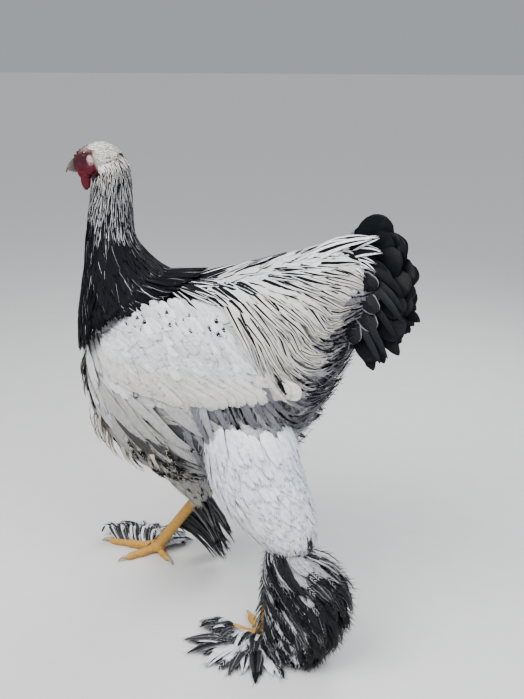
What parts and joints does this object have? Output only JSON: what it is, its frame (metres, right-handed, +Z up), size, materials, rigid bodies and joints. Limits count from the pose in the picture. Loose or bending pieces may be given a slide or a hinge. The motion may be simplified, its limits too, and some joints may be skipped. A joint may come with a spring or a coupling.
{
  "type": "brahma chicken",
  "caption": "Life-size still model of a young heavy cockerel with feathered legs, walking, head turned aside and tail raised.",
  "frame": {"origin": "middle of the bird's footprint box, on the ground", "axes": "+Z up, +X the bird's left, -Y the way the bird faces"},
  "size_m": [0.306, 0.4988, 0.6383],
  "materials": {
    "plumage_white": "soft white and smoky grey feathers",
    "plumage_hackle": "silver grey lancet feathers with black centres",
    "plumage_black": "black feathers with a green-blue gloss",
    "face_skin": "bare crimson skin",
    "lobe_skin": "pale pink skin",
    "leg_scale": "yellow horny scales",
    "horn": "grey-brown horn",
    "eye": "dark orange-brown eye, wet gloss"
  },
  "bodies": {
    "root": {"torso": "plumage_white", "neck": "plumage_hackle", "head": "face_skin", "comb": "face_skin", "beak_upper": "horn", "beak_lower": "horn", "eye_left": "eye", "eye_right": "eye", "wattle_left": "face_skin", "wattle_right": "face_skin", "earlobe_left": "lobe_skin", "earlobe_right": "lobe_skin", "wing_left": "plumage_white", "wing_right": "plumage_white", "thigh_left": "plumage_white", "thigh_right": "plumage_white", "shank_left": "leg_scale", "shank_right": "leg_scale", "foot_left": "leg_scale", "foot_right": "leg_scale", "tail": "plumage_black", "claw_left_middle": "horn", "claw_left_inner": "horn", "claw_left_outer": "horn", "claw_left_hind": "horn", "claw_right_middle": "horn", "claw_right_inner": "horn", "claw_right_outer": "horn", "claw_right_hind": "horn"}
  },
  "joints": []
}
